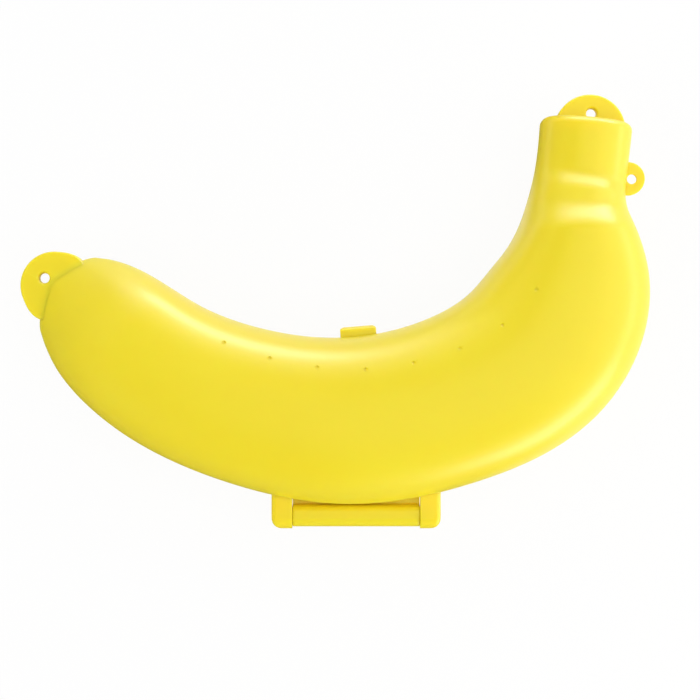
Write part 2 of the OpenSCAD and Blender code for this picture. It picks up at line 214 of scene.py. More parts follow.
@dataclass(frozen=True)
class MouldedPlastic:
    """Satin injection-moulded plastic with flow marks, fine grain and light handling marks.

    Scales and stretches count per metre; a share is the weight of one effect in a mix.
    """

    name: str
    colour: Colour
    deep: Colour
    pale: Colour
    roughness: float = 0.38
    gloss: float = 0.9
    glow: float = 0.6
    glow_depth: float = 3.5
    glow_spread: Colour = (1.0, 0.8, 0.3)
    refraction: float = 1.49
    grain: float = 0.05
    grain_height: float = 0.4
    cloud_scale: float = 24.0
    cloud_rough: float = 0.08
    flow_stretch: Colour = (14.0, 60.0, 60.0)
    flow_share: float = 0.4
    tone_gain: float = 2.2
    tone_share: float = 0.8
    mark_share: float = 0.5
    mark_rise: float = 1.2
    peel_scale: float = 650.0
    fine_scale: float = 3200.0
    fine_share: float = 0.3
    rub_stretch: Colour = (260.0, 1100.0, 700.0)
    rub_level: float = 0.62
    rub_gain: float = 9.0
    rub_rough: float = 0.10
    rub_dent: float = 0.25
    patch_scale: float = 38.0
    patch_gain: float = 5.0
    speck_scale: float = 90.0
    speck_size: float = 0.035
    speck_share: float = 0.3

    def make(self) -> bpy.types.Material:
        """Builds the material.

        Returns:
            The finished material.
        """
        material, bench = new_material(self.name)
        where = bench.add("ShaderNodeTexCoord", output="Object")
        cloud = bench.noise(where, self.cloud_scale, detail=3.0)
        flow = bench.noise(bench.stretch(where, self.flow_stretch), 1.0, detail=4.0, roughness=0.6)
        mixed = cloud * (1.0 - self.flow_share) + flow * self.flow_share
        tone = (mixed - NOISE_MIDDLE) * self.tone_gain
        shade = bench.blend((tone * -1.0).clamped() * self.tone_share, self.colour, self.deep)
        shade = bench.blend(tone.clamped() * self.tone_share, shade, self.pale)
        marks = self.marks(bench, where)
        shade = bench.blend(marks * self.mark_share, shade, self.pale)
        rubs = self.rubs(bench, where)
        rough = self.roughness + (cloud - NOISE_MIDDLE) * self.cloud_rough + rubs * self.rub_rough
        peel = bench.noise(where, self.peel_scale)
        fine = bench.noise(where, self.fine_scale, detail=1.0)
        skin = peel * (1.0 - self.fine_share) + fine * self.fine_share
        height = skin - rubs * self.rub_dent + marks * self.mark_rise
        normal = bench.add("ShaderNodeBump", {}, {
            "Strength": self.grain, "Distance": self.grain_height * MM, "Height": height})
        shader = bench.add("ShaderNodeBsdfPrincipled", {"subsurface_method": "RANDOM_WALK"}, {
            "Base Color": shade, "Roughness": rough.clamped(), "Normal": normal,
            "IOR": self.refraction, "Specular IOR Level": self.gloss,
            "Subsurface Weight": self.glow, "Subsurface Scale": self.glow_depth * MM,
            "Subsurface Radius": self.glow_spread})
        bench.add("ShaderNodeOutputMaterial", {}, {"Surface": shader})
        return material

    def rubs(self, bench: Bench, where: Wire) -> Wire:
        """Fine hairline rubs that come and go over the surface.

        Args:
            bench: Bench of the material.
            where: Place on the piece.

        Returns:
            A mask, 1 on a rub.
        """
        lines = bench.noise(bench.stretch(where, self.rub_stretch), 1.0, roughness=0.7)
        patch = bench.noise(where, self.patch_scale)
        hair = ((lines - self.rub_level) * self.rub_gain).clamped()
        return hair * ((patch - NOISE_MIDDLE) * self.patch_gain).clamped()

    def marks(self, bench: Bench, where: Wire) -> Wire:
        """Marks of the mould on this finish; the plain finish has a faint few specks.

        Args:
            bench: Bench of the material.
            where: Place on the piece.

        Returns:
            A mask, 1 on a mark.
        """
        cells = {"Vector": where, "Scale": self.speck_scale}
        specks = bench.add("ShaderNodeTexVoronoi", {}, cells, "Distance")
        return (1.0 - specks / self.speck_size).clamped() * self.speck_share


@dataclass(frozen=True)
class WeldedPlastic(MouldedPlastic):
    """The same plastic with a weld line, where the melt met behind a hole."""

    start: Pair = (0.0, 0.0)
    end: Pair = (1.0, 0.0)
    line_width: float = 0.6
    end_gain: float = 4000.0

    def marks(self, bench: Bench, where: Wire) -> Wire:
        """The weld line from the hole to the rim.

        Args:
            bench: Bench of the material.
            where: Place on the piece.

        Returns:
            A mask, 1 on the line.
        """
        run = Vector(self.end) - Vector(self.start)
        along = run.normalized()
        x = bench.add("ShaderNodeSeparateXYZ", {}, {0: where}, "X")
        right, up = x - self.start[0] * MM, x.other("Y") - self.start[1] * MM
        across = right * along.y - up * along.x
        passed = right * along.x + up * along.y
        left = run.length * MM - passed
        inside = (passed * self.end_gain).clamped() * (left * self.end_gain).clamped()
        return (1.0 - abs(across) / (self.line_width * MM / 2)).clamped() * inside


@dataclass(frozen=True)
class PaleFloor:
    """White floor that keeps a soft shadow. What reflections see of it is painted light and shade: a painted
    reflection of white towards the key, and painted shade on the far side and behind the stem.

    Places on it are in metres and the bearing is in degrees.
    """

    name: str = "pale_floor"
    colour: Colour = (0.86, 0.86, 0.85)
    # painted shade: the colour that reflections see on the floor away from the key and behind the stem
    painted_shade_colour: Colour = (0.10, 0.10, 0.09)
    whiteness: float = 0.93
    roughness: float = 0.9
    tooth_scale: float = 500.0
    tooth_share: float = 0.3
    tooth_tone: float = 0.98
    bright_bearing: float = 60.0
    dim_edge: float = -0.042
    bright_edge: float = -0.012
    # where the painted shade behind the stem lies, seen only in reflections
    stem_corner: Pair = (0.076, 0.035)
    stem_fade: Pair = (0.006, 0.015)
    stem_start: float = -0.010
    stem_start_fade: float = 0.020

    def make(self) -> bpy.types.Material:
        """Builds the material.

        Returns:
            The finished material.
        """
        material, bench = new_material(self.name)
        where = bench.add("ShaderNodeTexCoord", output="Object")
        tooth = bench.noise(where, self.tooth_scale)
        darker = tuple(c * self.tooth_tone for c in self.colour)
        shade = bench.blend(tooth * self.tooth_share, self.colour, darker)
        bearing = math.radians(self.bright_bearing)
        x = bench.add("ShaderNodeSeparateXYZ", {}, {0: where}, "X")
        towards = x * math.cos(bearing) + x.other("Y") * math.sin(bearing)
        # painted light mask: 1 where reflections see the white floor towards the key, 0 where they see
        # painted shade
        painted_light_mask = ((towards - self.dim_edge) / (self.bright_edge - self.dim_edge)).clamped()
        # painted shade behind the stem, seen only in reflections
        left_of_stem = ((self.stem_corner[0] - x) / self.stem_fade[0]).clamped()
        beside_stem = ((x.other("Y") - self.stem_corner[1]) / self.stem_fade[1]).clamped()
        near_stem = ((x - self.stem_start) / self.stem_start_fade).clamped()
        painted_light_mask = painted_light_mask * (1.0 - left_of_stem * beside_stem * near_stem)
        ray = bench.add("ShaderNodeLightPath", output="Is Camera Ray")
        mirrored = (ray.other("Is Glossy Ray") + ray.other("Is Transmission Ray")).at_most(1.0)
        # painted shade: for reflections the floor's colour goes dim away from the key
        shade = bench.blend(mirrored * (1.0 - painted_light_mask), shade, self.painted_shade_colour)
        paper = bench.add("ShaderNodeBsdfPrincipled", {}, {
            "Base Color": shade, "Roughness": self.roughness})
        white = bench.add("ShaderNodeEmission", {}, {"Color": (1, 1, 1, 1), "Strength": 1.0})
        # painted reflection: reflections see white emission on the key side of the floor
        seen = (ray + mirrored * painted_light_mask).at_most(1.0) * self.whiteness
        surface = bench.add("ShaderNodeMixShader", {}, {0: seen, 1: paper, 2: white})
        bench.add("ShaderNodeOutputMaterial", {}, {"Surface": surface})
        return material


def dome(x: float) -> float:
    """Rise of a quarter circle over 0 to 1."""
    return math.sqrt(1.0 - (1.0 - min(max(x, 0.0), 1.0)) ** 2)


def ease(x: float) -> float:
    """Smooth step over 0 to 1."""
    x = min(max(x, 0.0), 1.0)
    return x * x * (3.0 - 2.0 * x)


def swell(x: float) -> float:
    """Rise over 0 to 1 that starts steadily and ends flat."""
    return 1.0 - (1.0 - min(max(x, 0.0), 1.0)) ** 2


def fall(radius: float, gap: float) -> float:
    """What a rounding takes off at some distance from the end that it rounds."""
    return radius - math.sqrt(max(radius ** 2 - max(radius - gap, 0.0) ** 2, 0.0))


def spokes(sides: int) -> np.ndarray:
    """Unit vectors around a circle, one a row."""
    turn = np.linspace(0.0, 2 * math.pi, sides, endpoint=False)
    return np.column_stack((np.cos(turn), np.sin(turn)))


@dataclass(frozen=True)
class BananaForm:
    """Loft that the shells share: a middle line with widths, depths and a rim.

    A place along it counts stations, from 0 at the tip. Rings near the ends are given as
    shares of the rounding there, and others as first place, end and step.
    """

    spine: tuple[Pair, ...] = (
        (-88, 9), (-75, -0.5), (-54.5, -20), (-24.5, -31.3), (6, -36), (37.5, -29),
        (65.5, -15), (76.5, 11), (75.1, 31.5), (77.7, 45.5), (78.9, 59))
    spine_run: float = 166.4
    widths: tuple[float, ...] = (20.5, 43, 46.5, 49, 52.5, 52, 56, 51.5, 28.5, 28, 28.5)
    drops: tuple[float, ...] = (10, 3.5, 0.4)
    half_depth: float = 22.0
    rest_flat: float = 0.3
    wall: float = 1.8
    seam: float = 0.3
    tip_square: float = 1.6
    body_square: float = 2.5
    stem_square: float = 2.4
    tip_run: float = 7.0
    tip_slope: float = 32.0
    tip_low: float = 2.4
    stem_edge: float = 2.5
    stem_run: float = 16.5
    collar_rise: float = 3.2
    collar_run: float = 6.0
    collar_flat: float = 3.5
    shoulder_rise: float = 5.0
    shoulder_run: float = 9.0
    neck_soften: float = 0.4
    neck_start: float = 7.0
    neck_span: float = 2.0
    least_hollow: float = 0.35
    section_points: int = 361
    tip_rings: tuple[float, ...] = (
        0.001, 0.006, 0.018, 0.04, 0.07, 0.11, 0.16, 0.22, 0.3, 0.39, 0.5, 0.62, 0.75, 0.88)
    body_rings: tuple[float, float, float] = (0.58, 6.82, 0.075)
    neck_rings: tuple[float, float, float] = (6.85, 9.75, 0.045)
    stem_rings: tuple[float, ...] = (1.0, 0.8, 0.6, 0.44, 0.3, 0.19, 0.1, 0.04, 0.01, 0.0)

    @property
    def last(self) -> int:
        """Number of the last station."""
        return len(self.spine) - 1

    @property
    def rim(self) -> float:
        """Height of a rim over the parting plane."""
        return self.seam / 2

    @cached_property
    def stations(self) -> np.ndarray:
        """The spline's control rows.

        Returns:
            Rows of x, y, half width and depth lost.
        """
        drops = self.drops + (0.0,) * (len(self.spine) - len(self.drops))
        longer = self.spine_run / (self.spine[-1][0] - self.spine[0][0])
        return np.array([
            (x * longer, y, w / 2, d) for (x, y), w, d in zip(self.spine, self.widths, drops)])

    def control(self, i: int) -> np.ndarray:
        """One station, or the mirrored one beyond an end.

        Args:
            i: Number of the station, from -1 to one past the last.

        Returns:
            Its row.
        """
        s = self.stations
        if i < 0:
            return 2 * s[0] - s[1]
        return 2 * s[-1] - s[-2] if i > self.last else s[i]

    def around(self, t: float) -> tuple[list[np.ndarray], float, float]:
        """The four stations that shape the spline at one place.

        Args:
            t: Place along the curve.

        Returns:
            Their rows, and how far the place is past the second and short of the third.
        """
        i = min(int(t), self.last - 1)
        past = t - i
        return [self.control(k) for k in range(i - 1, i + 3)], past, 1.0 - past

    def at(self, t: float) -> np.ndarray:
        """The smooth row of x, y, half width and depth lost at place t."""
        (a, b, c, d), f, g = self.around(t)
        return (g ** 3 * a + (3 * f ** 3 - 6 * f * f + 4) * b
                + (3 * g ** 3 - 6 * g * g + 4) * c + f ** 3 * d) / 6

    def along(self, t: float) -> np.ndarray:
        """Unit vector along the middle line at place t."""
        (a, b, c, d), f, g = self.around(t)
        slope = (-g * g * a + (3 * f * f - 4 * f) * b + (4 * g - 3 * g * g) * c + f * f * d)[:2]
        return slope / np.linalg.norm(slope)

    def middle(self, t: float) -> np.ndarray:
        """Point of the middle line at place t."""
        return self.at(t)[:2]

    def side(self, t: float) -> np.ndarray:
        """Unit vector to the concave side at place t."""
        x, y = self.along(t)
        return np.array((-y, x))

    def from_tip(self, t: float) -> float:
        """Distance from the tip."""
        return float(np.linalg.norm(self.middle(t) - self.middle(0.0)))

    def from_stem(self, t: float) -> float:
        """Distance from the stem's end."""
        return float(np.linalg.norm(self.middle(t) - self.middle(self.last)))

    def edge_loss(self, t: float) -> float:
        """What the rounded end of the stem takes off width and depth."""
        return fall(self.stem_edge, self.from_stem(t))

    def full_depth(self, t: float, top: float) -> float:
        """Half depth before the ends are rounded.

        Args:
            t: Place along the curve.
            top: Half depth of the body.

        Returns:
            The depth, with the neck's two steps taken off.
        """
        e = self.from_stem(t) - self.stem_run
        shoulder = 1.0 - ease((e - self.collar_run - self.collar_flat) / self.shoulder_run)
        collar = 1.0 - ease(e / self.collar_run)
        steps = self.shoulder_rise * shoulder + self.collar_rise * collar
        whole = self.shoulder_rise + self.collar_rise
        slide = whole * (1.0 - ease(e / (self.collar_run + self.collar_flat + self.shoulder_run)))
        neck = steps + (slide - steps) * self.neck_soften
        return top - float(self.at(t)[3]) - neck

    def out_width(self, t: float) -> float:
        """Half width of the outside."""
        return float(self.at(t)[2]) * dome(self.from_tip(t) / self.tip_run) - self.edge_loss(t)

    def out_depth(self, t: float, top: float) -> float:
        """Half depth of the outside."""
        rise = swell(self.from_tip(t) / self.tip_slope)
        return self.tip_low + (self.full_depth(t, top) - self.tip_low) * rise - self.edge_loss(t)

    def in_width(self, t: float) -> float:
        """Half width of the space inside."""
        inside = (float(self.at(t)[2]) - self.wall) * dome((self.from_tip(t) - self.wall) / self.tip_run)
        return max(self.least_hollow * self.out_width(t), min(inside, self.out_width(t) - self.wall))

    def in_depth(self, t: float) -> float:
        """Half depth of the space inside.

        Args:
            t: Place along the curve.

        Returns:
            The depth, which falls to nothing inside the stem's end.
        """
        low = self.tip_low / 4
        rise = swell((self.from_tip(t) - self.wall / 2) / self.tip_slope)
        deep = low + (self.full_depth(t, self.half_depth) - self.wall - low) * rise
        return deep * dome((self.from_stem(t) - self.wall) / (2 * self.wall))

    def square(self, t: float) -> float:
        """Squareness of the section.

        Args:
            t: Place along the curve.

        Returns:
            The power of its curve, where 2 is an ellipse.
        """
        rise = ease(self.from_tip(t) / self.tip_slope)
        body = self.tip_square + (self.body_square - self.tip_square) * rise
        neck = ease((t - self.neck_start) / self.neck_span)
        return body + (self.stem_square - self.body_square) * neck

    def outside(self, t: float, across: float) -> float:
        """Height of the lid's outside at a place and a distance across."""
        power = self.square(t)
        share = min(abs(across) / self.out_width(t), 1.0)
        return self.out_depth(t, self.half_depth) * (1.0 - share ** power) ** (1.0 / power)

    def section(self, t: float, width: float, depth: float, start: float, steps: int) -> np.ndarray:
        """Half section, evenly spaced along its length, from the concave to the convex side.

        Args:
            t: Place along the curve.
            width: Half width.
            depth: Half depth.
            start: Height at which the section starts and ends.
            steps: Number of steps.

        Returns:
            Rows of across and up.
        """
        power = 2.0 / self.square(t)
        first = math.asin(min(start / depth, 1.0) ** (1.0 / power))
        angle = np.linspace(first, math.pi - first, self.section_points)
        across = width * np.sign(np.cos(angle)) * np.abs(np.cos(angle)) ** power
        up = depth * np.abs(np.sin(angle)) ** power
        run = np.concatenate(([0.0], np.cumsum(np.hypot(np.diff(across), np.diff(up)))))
        even = np.linspace(0.0, run[-1], steps + 1)
        return np.column_stack((np.interp(even, run, across), np.interp(even, run, up)))

    def place(self, t: float, across: float, up: float) -> np.ndarray:
        """Point in space from across and up at place t."""
        p = self.middle(t) + across * self.side(t)
        return np.array((p[0], p[1], up + self.half_depth))

    def places(self) -> list[float]:
        """Sets out the rings, closer at the tip, the neck and the stem's end.

        Returns:
            Their places along the curve.
        """
        spots = self.stations[:, :2]
        tip = self.tip_run / np.linalg.norm(spots[1] - spots[0])
        stem = self.stem_edge / np.linalg.norm(spots[-1] - spots[-2])
        row = [tip * d for d in self.tip_rings]
        row += [*np.arange(*self.body_rings), *np.arange(*self.neck_rings)]
        return row + [self.last - stem * d for d in self.stem_rings]


def set_out(name: str, data: bpy.types.ID) -> bpy.types.Object:
    """Makes an object and links it to the scene.

    Args:
        name: Name of the object.
        data: Its mesh, lamp or camera.

    Returns:
        The new object.
    """
    thing = bpy.data.objects.new(name, data)
    bpy.context.scene.collection.objects.link(thing)
    return thing


def loft(name: str, rings: np.ndarray, endless: bool = False) -> bpy.types.Object:
    """Skins a row of closed rings.

    Args:
        name: Name of the piece.
        rings: Points in millimetres, shaped (rings, points, 3).
        endless: Joins the last ring to the first, instead of capping both.

    Returns:
        The new object, in metres and linked to the scene.
    """
    rows, count = rings.shape[:2]
    index = np.arange(rows * count).reshape(rows, count)
    faces = []
    for j in range(rows if endless else rows - 1):
        a, b = index[j], index[(j + 1) % rows]
        faces += [(a[k], a[(k + 1) % count], b[(k + 1) % count], b[k]) for k in range(count)]
    if not endless:
        faces += [tuple(index[0][::-1]), tuple(index[-1])]
    mesh = bpy.data.meshes.new(name)
    mesh.from_pydata((rings.reshape(-1, 3) * MM).tolist(), [], [tuple(map(int, f)) for f in faces])
    mesh.update()
    if signed_volume(mesh) < 0:
        mesh.flip_normals()
    return set_out(name, mesh)


def signed_volume(mesh: bpy.types.Mesh) -> float:
    """Volume of a closed mesh, times six.

    Args:
        mesh: The mesh to measure.

    Returns:
        A value that is below zero where the faces point in.
    """
    mesh.calc_loop_triangles()
    points = np.array([v.co for v in mesh.vertices])
    corners = np.array([t.vertices for t in mesh.loop_triangles])
    a, b, c = (points[corners[:, k]] for k in range(3))
    return float(np.einsum("ij,ij->i", a, np.cross(b, c)).sum())


def cut(piece: bpy.types.Object, cutter: bpy.types.Object) -> None:
    """Takes a cutter out of a piece and removes the cutter.

    Args:
        piece: The piece to cut.
        cutter: The object to take away.
    """
    step = piece.modifiers.new("cut", "BOOLEAN")
    step.operation = "DIFFERENCE"
    step.solver = "EXACT"
    step.object = cutter
    bpy.context.view_layer.update()
    made = bpy.data.meshes.new_from_object(piece.evaluated_get(bpy.context.evaluated_depsgraph_get()))
    piece.modifiers.remove(step)
    piece.data = made
    bpy.data.objects.remove(cutter)


def mend(piece: bpy.types.Object, near: float) -> None:
    """Joins points that lie together and takes out faces without area, so that the mesh is closed.

    Args:
        piece: The piece to mend.
        near: Distance in millimetres within which points are one.
    """
    mesh = bmesh.new()
    mesh.from_mesh(piece.data)
    bmesh.ops.remove_doubles(mesh, verts=mesh.verts, dist=near * MM)
    bmesh.ops.triangulate(mesh, faces=[face for face in mesh.faces if len(face.verts) > 4])
    bmesh.ops.dissolve_degenerate(mesh, edges=mesh.edges, dist=near * MM)
    twins: dict[frozenset[int], list[bmesh.types.BMFace]] = {}
    mesh.verts.index_update()
    for face in mesh.faces:
        twins.setdefault(frozenset(corner.index for corner in face.verts), []).append(face)
    flat = [face for pair in twins.values() if len(pair) > 1 for face in pair]
    bmesh.ops.delete(mesh, geom=flat, context="FACES")
    mesh.to_mesh(piece.data)
    mesh.free()


def smooth(piece: bpy.types.Object, sharp: float = 38.0, near: float = 0.002) -> None:
    """Mends a piece and shades it smooth.

    Args:
        piece: The piece to finish.
        sharp: Angle in degrees above which an edge stays sharp.
        near: Distance in millimetres within which points are one.
    """
    mend(piece, near)
    piece.data.shade_smooth()
    piece.data.set_sharp_from_angle(angle=math.radians(sharp))


def shrunk(outline: np.ndarray, middle: np.ndarray, loss: float, share: float = 0.85) -> np.ndarray:
    """Draws an outline in towards its middle, without folding its thin places.

    Args:
        outline: Rows of points.
        middle: Point that they are drawn to.
        loss: What each side loses, where it has that much.
        share: Largest part of its distance from the middle that a point may lose.

    Returns:
        The smaller outline.
    """
    offset = outline - middle
    return outline - np.sign(offset) * np.minimum(share * np.abs(offset), loss)


def rounded_path(corners: Sequence[Pair], radii: Sequence[float], steps: int = 2,
                 share: float = 0.45) -> np.ndarray:
    """Rounds the corners of an open path.

    Args:
        corners: All points, of which the first and last only give directions.
        radii: Rounding of each corner between them.
        steps: Steps in each rounding.
        share: Largest part of a side that one rounding may take.

    Returns:
        Rows of points on the roundings.
    """
    points = [np.array(c, float) for c in corners]
    made = []
    for before, corner, after, radius in zip(points, points[1:], points[2:], radii):
        back, ahead = before - corner, after - corner
        long_back, long_ahead = np.linalg.norm(back), np.linalg.norm(ahead)
        reach = min(radius, share * min(long_back, long_ahead))
        start = corner + back / max(long_back, TINY) * reach
        end = corner + ahead / max(long_ahead, TINY) * reach
        for k in range(steps + 1):
            f = k / steps
            made.append((1 - f) ** 2 * start + 2 * f * (1 - f) * corner + f * f * end)
    return np.array(made)


def rounded_outline(corners: Sequence[Pair], radii: Sequence[float], steps: int = 3) -> np.ndarray:
    """Rounds the corners of a closed outline."""
    ring = [corners[-1], *corners, corners[0]]
    return rounded_path(ring, radii, steps)


@dataclass
class Piece:
    """One finished piece with what it rides on and stands for."""

    thing: bpy.types.Object
    body: Body
    node: str
    slot: Slot = Slot.SHELL

    def seat(self) -> None:
        """Ties the piece to its body and hides the node it stands for."""
        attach(self.thing, self.body.value)
        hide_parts(self.node)

    def paint(self, material: bpy.types.Material) -> None:
        """Gives the piece one material."""
        self.thing.data.materials.clear()
        self.thing.data.materials.append(material)


@dataclass
class Assembly:
    """A group of pieces that is built and then dressed."""

    form: BananaForm
    pieces: list[Piece] = field(default_factory=list, init=False)
    trim_depth: ClassVar[float] = 0.9
    trim_least: ClassVar[float] = 0.2
    trim_past: ClassVar[float] = 1.0
    trim_steps: ClassVar[int] = 40

    def build(self) -> None:
        """Builds the meshes."""
        raise NotImplementedError

    def dress(self, finish: MouldedPlastic) -> None:
        """Gives every piece one finish and seats it.

        Args:
            finish: The finish to give.
        """
        material = finish.make()
        for piece in self.pieces:
            piece.paint(material)
            piece.seat()

    def inner_core(self, name: str, row: Sequence[float], half: Half) -> bpy.types.Object:
        """What lies deeper than the trim below a shell's outside, to cut other pieces with.

        Args:
            name: Name of the cutter.
            row: Places along the curve.
            half: Half of the case.

        Returns:
            The cutter.
        """
        rings = []
        for t in row:
            depth = self.form.out_depth(t, self.form.half_depth)
            width = max(self.form.out_width(t) - self.trim_depth, self.trim_least)
            tall = max(depth - self.trim_depth, self.trim_least)
            arc = self.form.section(t, width, tall, 0.0, self.trim_steps)
            arc = np.vstack(([width, -self.trim_past], arc, [-width, -self.trim_past]))
            rings.append([self.form.place(t, a, u * half.value) for a, u in arc])
        return loft(name, np.array(rings))


@dataclass
class ShellHalf(Assembly):
    """One half of the case: a thin lofted shell with a stepped rim, and vents in the lid."""

    half: Half = Half.LID
    lip_height: float = 1.5
    rim_skin: float = 0.7
    lip_play: float = 0.25
    lip_draft: float = 0.15
    lip_share: float = 0.125
    skin_share: float = 0.5
    draft_share: float = 0.2
    edge: float = 0.35
    step_edges: tuple[float, float, float] = (0.15, 0.15, 0.2)
    inside_start: float = 2.4
    inside_share: float = 0.4
    least_out: float = 0.05
    least_in: float = 0.02
    merge: float = 0.01
    out_steps: int = 60
    in_steps: int = 34
    vent_count: int = 8
    vent_sides: int = 24
    vent_samples: int = 81
    vent_d: float = 1.4
    vent_bore: float = 0.24
    vent_deep: float = 0.34
    vent_through: float = 4.0
    vent_over: float = 2.0
    vent_first: float = 2.5
    vent_last: float = 6.65
    vent_inset: float = 7.0
    vent_drift: float = 7.5

    def rim_path(self, t: float, start: np.ndarray, end: np.ndarray) -> np.ndarray:
        """Rounded step of the rim on the concave side, from the outside to the inside.

        Args:
            t: Place along the curve.
            start: Lowest point of the outside.
            end: Lowest point of the inside.

        Returns:
            Rows of across and height.
        """
        form, rim, lid = self.form, self.form.rim, self.half is Half.LID
        room = start[0] - end[0]
        tall = min(self.lip_height, form.in_depth(t) * self.lip_share)
        skin = min(self.rim_skin + (0 if lid else self.lip_play), self.skin_share * room)
        draft = min(self.lip_draft, self.draft_share * room)
        top = rim + tall * (1 + form.seam / self.lip_height) if lid else rim - tall
        corners = (tuple(start), (start[0], rim), (start[0] - skin, rim), (start[0] - skin - draft, top),
                   (end[0], top), tuple(end))
        return rounded_path(corners, (self.edge, *self.step_edges))

    def ring(self, t: float) -> np.ndarray:
        """Closed ring of the shell at one place.

        Args:
            t: Place along the curve.

        Returns:
            Rows of points in space.
        """
        form = self.form
        top = form.half_depth + (0 if self.half is Half.LID else form.rest_flat)
        low = form.rim + 2 * self.edge
        tall = max(form.out_depth(t, top), low + self.least_out)
        outside = form.section(t, form.out_width(t), tall, low, self.out_steps)
        outside[:, 1] = np.minimum(outside[:, 1], form.half_depth)
        low_in = form.rim + min(self.inside_start, form.in_depth(t) * self.inside_share)
        tall_in = max(form.in_depth(t), low_in + self.least_in)
        inside = form.section(t, form.in_width(t), tall_in, low_in, self.in_steps)
        step = self.rim_path(t, outside[0], inside[0])
        loop = np.vstack((outside, step * (-1, 1), inside[::-1], step[::-1]))
        return np.array([form.place(t, a, u * self.half.value) for a, u in loop])

    def vents(self) -> list[np.ndarray]:
        """Places of the vents, spaced evenly along their line.

        Returns:
            Points on the lid's outside.
        """
        form = self.form
        row = np.linspace(self.vent_first, self.vent_last, self.vent_samples)
        share = (row - self.vent_first) / (self.vent_last - self.vent_first)
        across = [form.out_width(t) - self.vent_inset - self.vent_drift * s for t, s in zip(row, share)]
        line = np.array([form.place(t, a, form.outside(t, a)) for t, a in zip(row, across)])
        way = np.concatenate(([0.0], np.cumsum(np.linalg.norm(np.diff(line, axis=0), axis=1))))
        stops = np.linspace(0.0, way[-1], self.vent_count)
        return [np.array([np.interp(s, way, line[:, k]) for k in range(3)]) for s in stops]

    def vent_cutter(self) -> bpy.types.Object:
        """One object that cuts all the vents, each a funnel that narrows to its bore.

        Returns:
            The cutter.
        """
        circle = np.column_stack((spokes(self.vent_sides), np.zeros(self.vent_sides))) / 2
        steps = ((-self.vent_through, self.vent_bore), (-self.vent_deep, self.vent_bore),
                 (0.0, self.vent_d), (self.vent_over, 2 * self.vent_d))
        bars = [loft(f"vent_cut_{i}", np.array([circle * d + spot + (0, 0, h) for h, d in steps]))
                for i, spot in enumerate(self.vents())]
        with bpy.context.temp_override(active_object=bars[0], selected_editable_objects=bars):
            bpy.ops.object.join()
        return bars[0]

    def build(self) -> None:
        """Builds the shell."""
        name = "lid_moulding" if self.half is Half.LID else "base_moulding"
        shell = loft(name, np.array([self.ring(t) for t in self.form.places()]))
        if self.half is Half.LID:
            cut(shell, self.vent_cutter())
        smooth(shell, near=self.merge)
        body, node = (Body.LID, "lid_shell") if self.half is Half.LID else (Body.BASE, "base_shell")
        self.pieces.append(Piece(shell, body, node))


